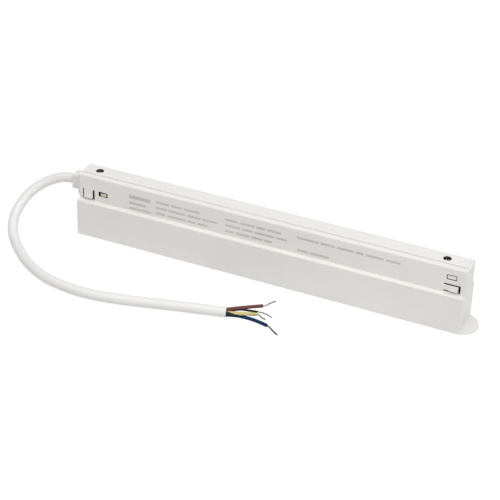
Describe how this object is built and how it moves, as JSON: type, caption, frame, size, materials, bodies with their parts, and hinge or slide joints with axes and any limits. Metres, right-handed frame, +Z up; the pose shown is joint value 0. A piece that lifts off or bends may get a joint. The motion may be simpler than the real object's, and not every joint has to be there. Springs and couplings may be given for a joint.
{
  "type": "led driver",
  "caption": "Slim white in-track power supply with a stepped housing, side latches, output contacts and a loose mains cable with bared cores.",
  "frame": {"origin": "middle of the housing's length and width, on its flat base", "axes": "+X along the housing towards the end with the tab, -Y towards the viewer, +Z up from the base to the part that enters the track"},
  "size_m": [0.3688, 0.1071, 0.0523],
  "materials": {
    "housing": "satin",
    "sheath": "satin",
    "contact_brass": "plain",
    "screw_steel": "zinc plated",
    "core_brown": "satin",
    "core_black": "satin",
    "core_blue": "satin",
    "core_striped": "satin, two colours",
    "strands": "tinned copper",
    "board": "solder mask",
    "terminal": "plain",
    "fuse_cap": "plain",
    "blue_resin": "gloss",
    "film_case": "plain",
    "ferrite": "plain ferrite",
    "copper": "enamelled copper",
    "spreader": "plain",
    "pad": "soft",
    "device": "moulded epoxy",
    "can_sleeve": "shrunk sleeve",
    "tape": "wound tape",
    "lead_red": "satin",
    "lead_black": "satin"
  },
  "bodies": {
    "root": {"lower_housing": "housing", "upper_housing": "housing", "cover_screws": "screw_steel", "strain_relief": "housing", "contact_block": "housing", "output_contacts": "contact_brass", "blanking_block": "housing", "mains_cable": "sheath", "live_core": "core_brown", "control_core": "core_black", "control_strands": "strands", "control_lead": "core_black", "neutral_core": "core_blue", "earth_core": "core_striped", "live_strands": "strands", "neutral_strands": "strands", "earth_strands": "strands", "circuit_board": "board", "board_screws": "screw_steel", "mains_terminal": "terminal", "fuse": "fuse_cap", "varistor": "blue_resin", "line_capacitor": "film_case", "filter_choke_core": "ferrite", "filter_choke_windings": "copper", "suppression_capacitors": "blue_resin", "heat_spreader": "spreader", "thermal_pad": "pad", "bridge_rectifier": "device", "power_transistors": "device", "boost_core": "ferrite", "boost_winding": "copper", "control_board": "board", "bulk_capacitors": "can_sleeve", "transformer_core": "ferrite", "transformer_winding": "tape", "output_rectifiers": "device", "output_choke": "ferrite", "output_capacitors": "can_sleeve", "output_terminal": "terminal", "live_lead": "core_brown", "neutral_lead": "core_blue", "earth_lead": "core_striped", "positive_lead": "lead_red", "negative_lead": "lead_black"}
  },
  "joints": []
}
